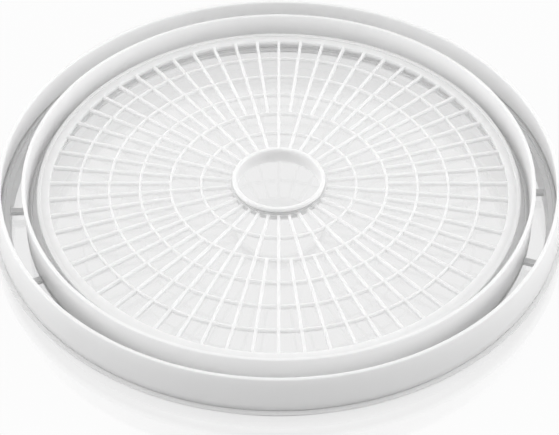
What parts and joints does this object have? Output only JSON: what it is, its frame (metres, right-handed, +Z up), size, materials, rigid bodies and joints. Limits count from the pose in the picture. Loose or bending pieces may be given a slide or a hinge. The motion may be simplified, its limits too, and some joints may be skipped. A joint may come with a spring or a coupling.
{
  "type": "food dehydrator tray",
  "caption": "Round white stacking tray of a food dehydrator: flared wall on a flanged base ring, air guide ring and a lift-out open drying screen with a central air hole.",
  "frame": {"origin": "on the table, at the centre of the round tray", "axes": "+Z up along the tray's axis; the picture looks from -Y; one long rib of the screen points along +Y"},
  "size_m": [0.358, 0.358, 0.034],
  "materials": {
    "shell_white": "satin moulded white polypropylene",
    "guide_white": "satin moulded white polypropylene",
    "screen_white": "satin moulded white polypropylene"
  },
  "bodies": {
    "shell": {"base_ring": "shell_white", "outer_wall": "shell_white"},
    "guide": {"air_guide_ring": "guide_white"},
    "screen": {"drying_screen": "screen_white", "hub_collar": "screen_white"}
  },
  "joints": [
    {"name": "guide_lift", "type": "slide", "parent": "shell", "child": "guide", "axis": [0, 0, 1], "range_m": [0, 0.06]},
    {"name": "screen_lift", "type": "slide", "parent": "guide", "child": "screen", "axis": [0, 0, 1], "range_m": [0, 0.06]}
  ]
}
